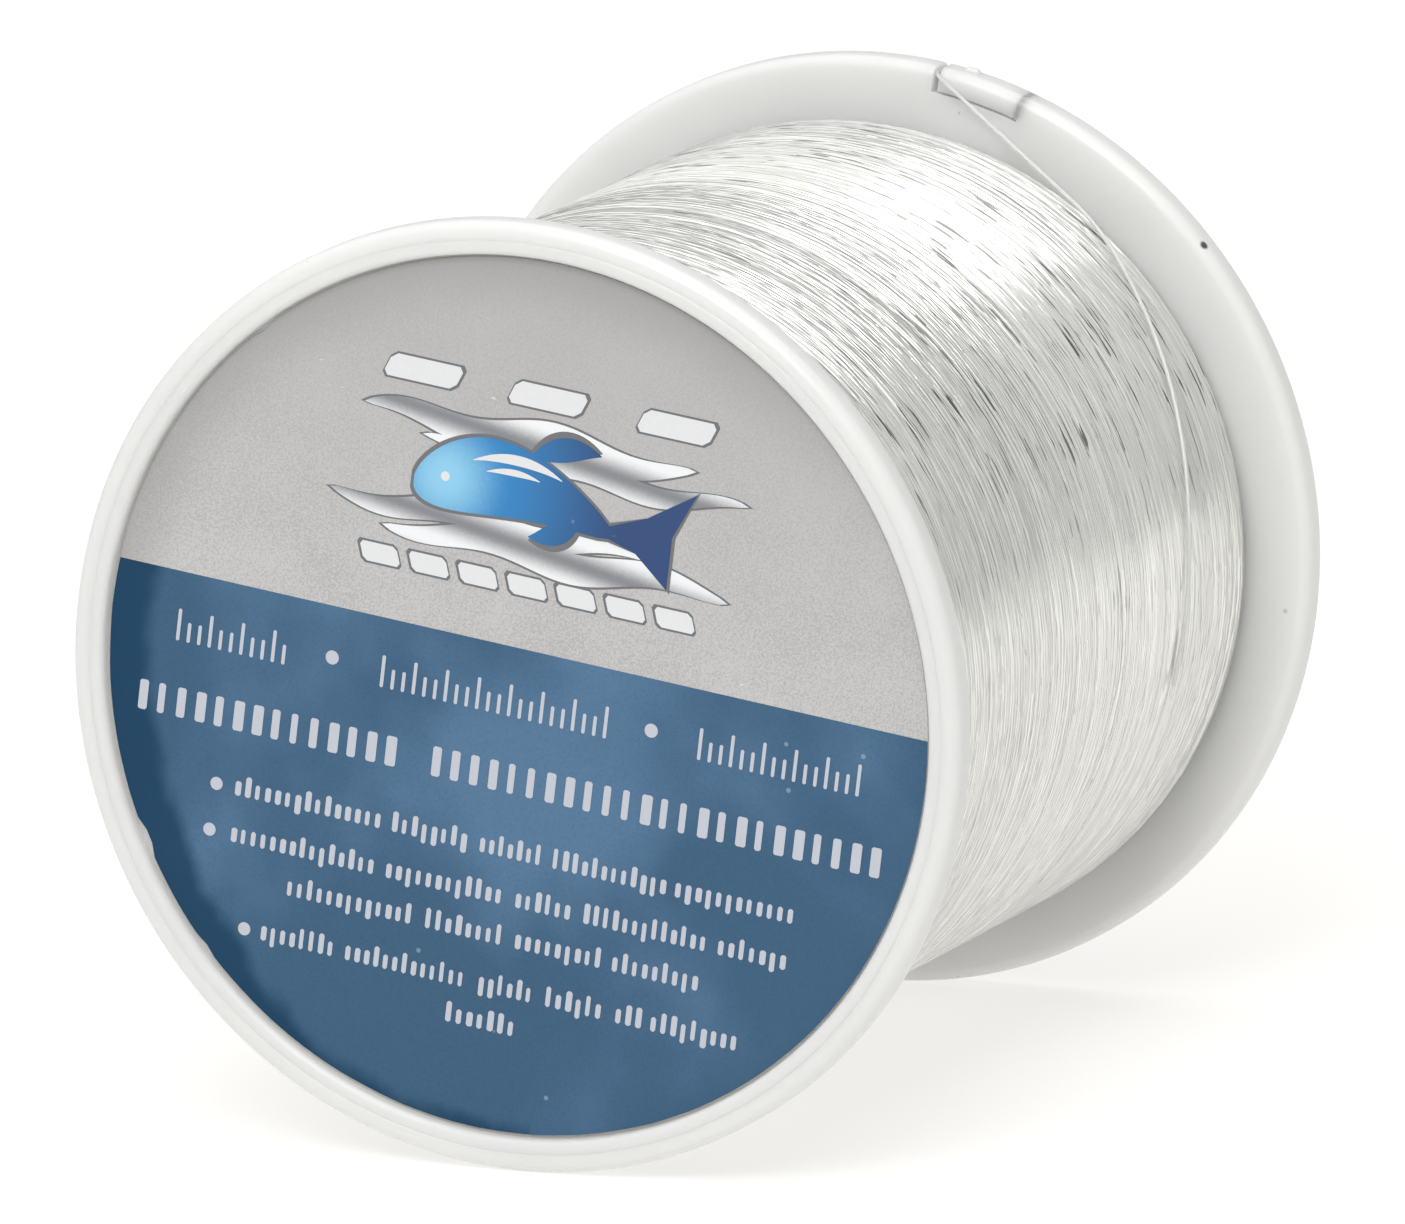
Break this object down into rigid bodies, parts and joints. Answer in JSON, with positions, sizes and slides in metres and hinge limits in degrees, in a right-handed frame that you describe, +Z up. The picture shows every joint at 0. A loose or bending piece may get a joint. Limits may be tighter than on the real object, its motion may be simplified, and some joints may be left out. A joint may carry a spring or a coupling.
{
  "type": "fishing line spool",
  "caption": "Filler spool of clear fishing line: two milky plastic flanges on a barrel, wound line, printed labels and a springy catch that holds the loose end.",
  "frame": {"origin": "on the surface that the two rims rest on, under the middle of the spool's axis, midway between the outer faces of the flanges", "axes": "+Z up; the spool's axis runs along Y, with the labelled front flange towards -Y and the back flange, with the line catch, towards +Y"},
  "size_m": [0.088, 0.085, 0.088],
  "materials": {
    "flange_plastic": "milky translucent polyethylene with a soft gloss",
    "barrel_plastic": "plain white polypropylene",
    "label_front": "coated paper printed grey and blue, glossy",
    "label_back": "coated paper printed blue, glossy",
    "line_nylon": "clear nylon monofilament, wet-looking gloss"
  },
  "bodies": {
    "spool": {"front_flange": "flange_plastic", "back_flange": "flange_plastic", "barrel": "barrel_plastic", "spindle_core": "barrel_plastic", "front_label": "label_front", "back_label": "label_back", "line_pack": "line_nylon", "line_tail": "line_nylon", "line_start": "line_nylon", "anchor_knot": "line_nylon"},
    "catch": {"line_catch": "flange_plastic"}
  },
  "joints": [
    {"name": "catch_hinge", "type": "hinge", "parent": "spool", "child": "catch", "pos_m": [0.016, 0.0407, 0.0838], "axis": [0, 1, 0], "range_deg": [0, 10], "stiffness_Nm_per_rad": 0.02}
  ]
}
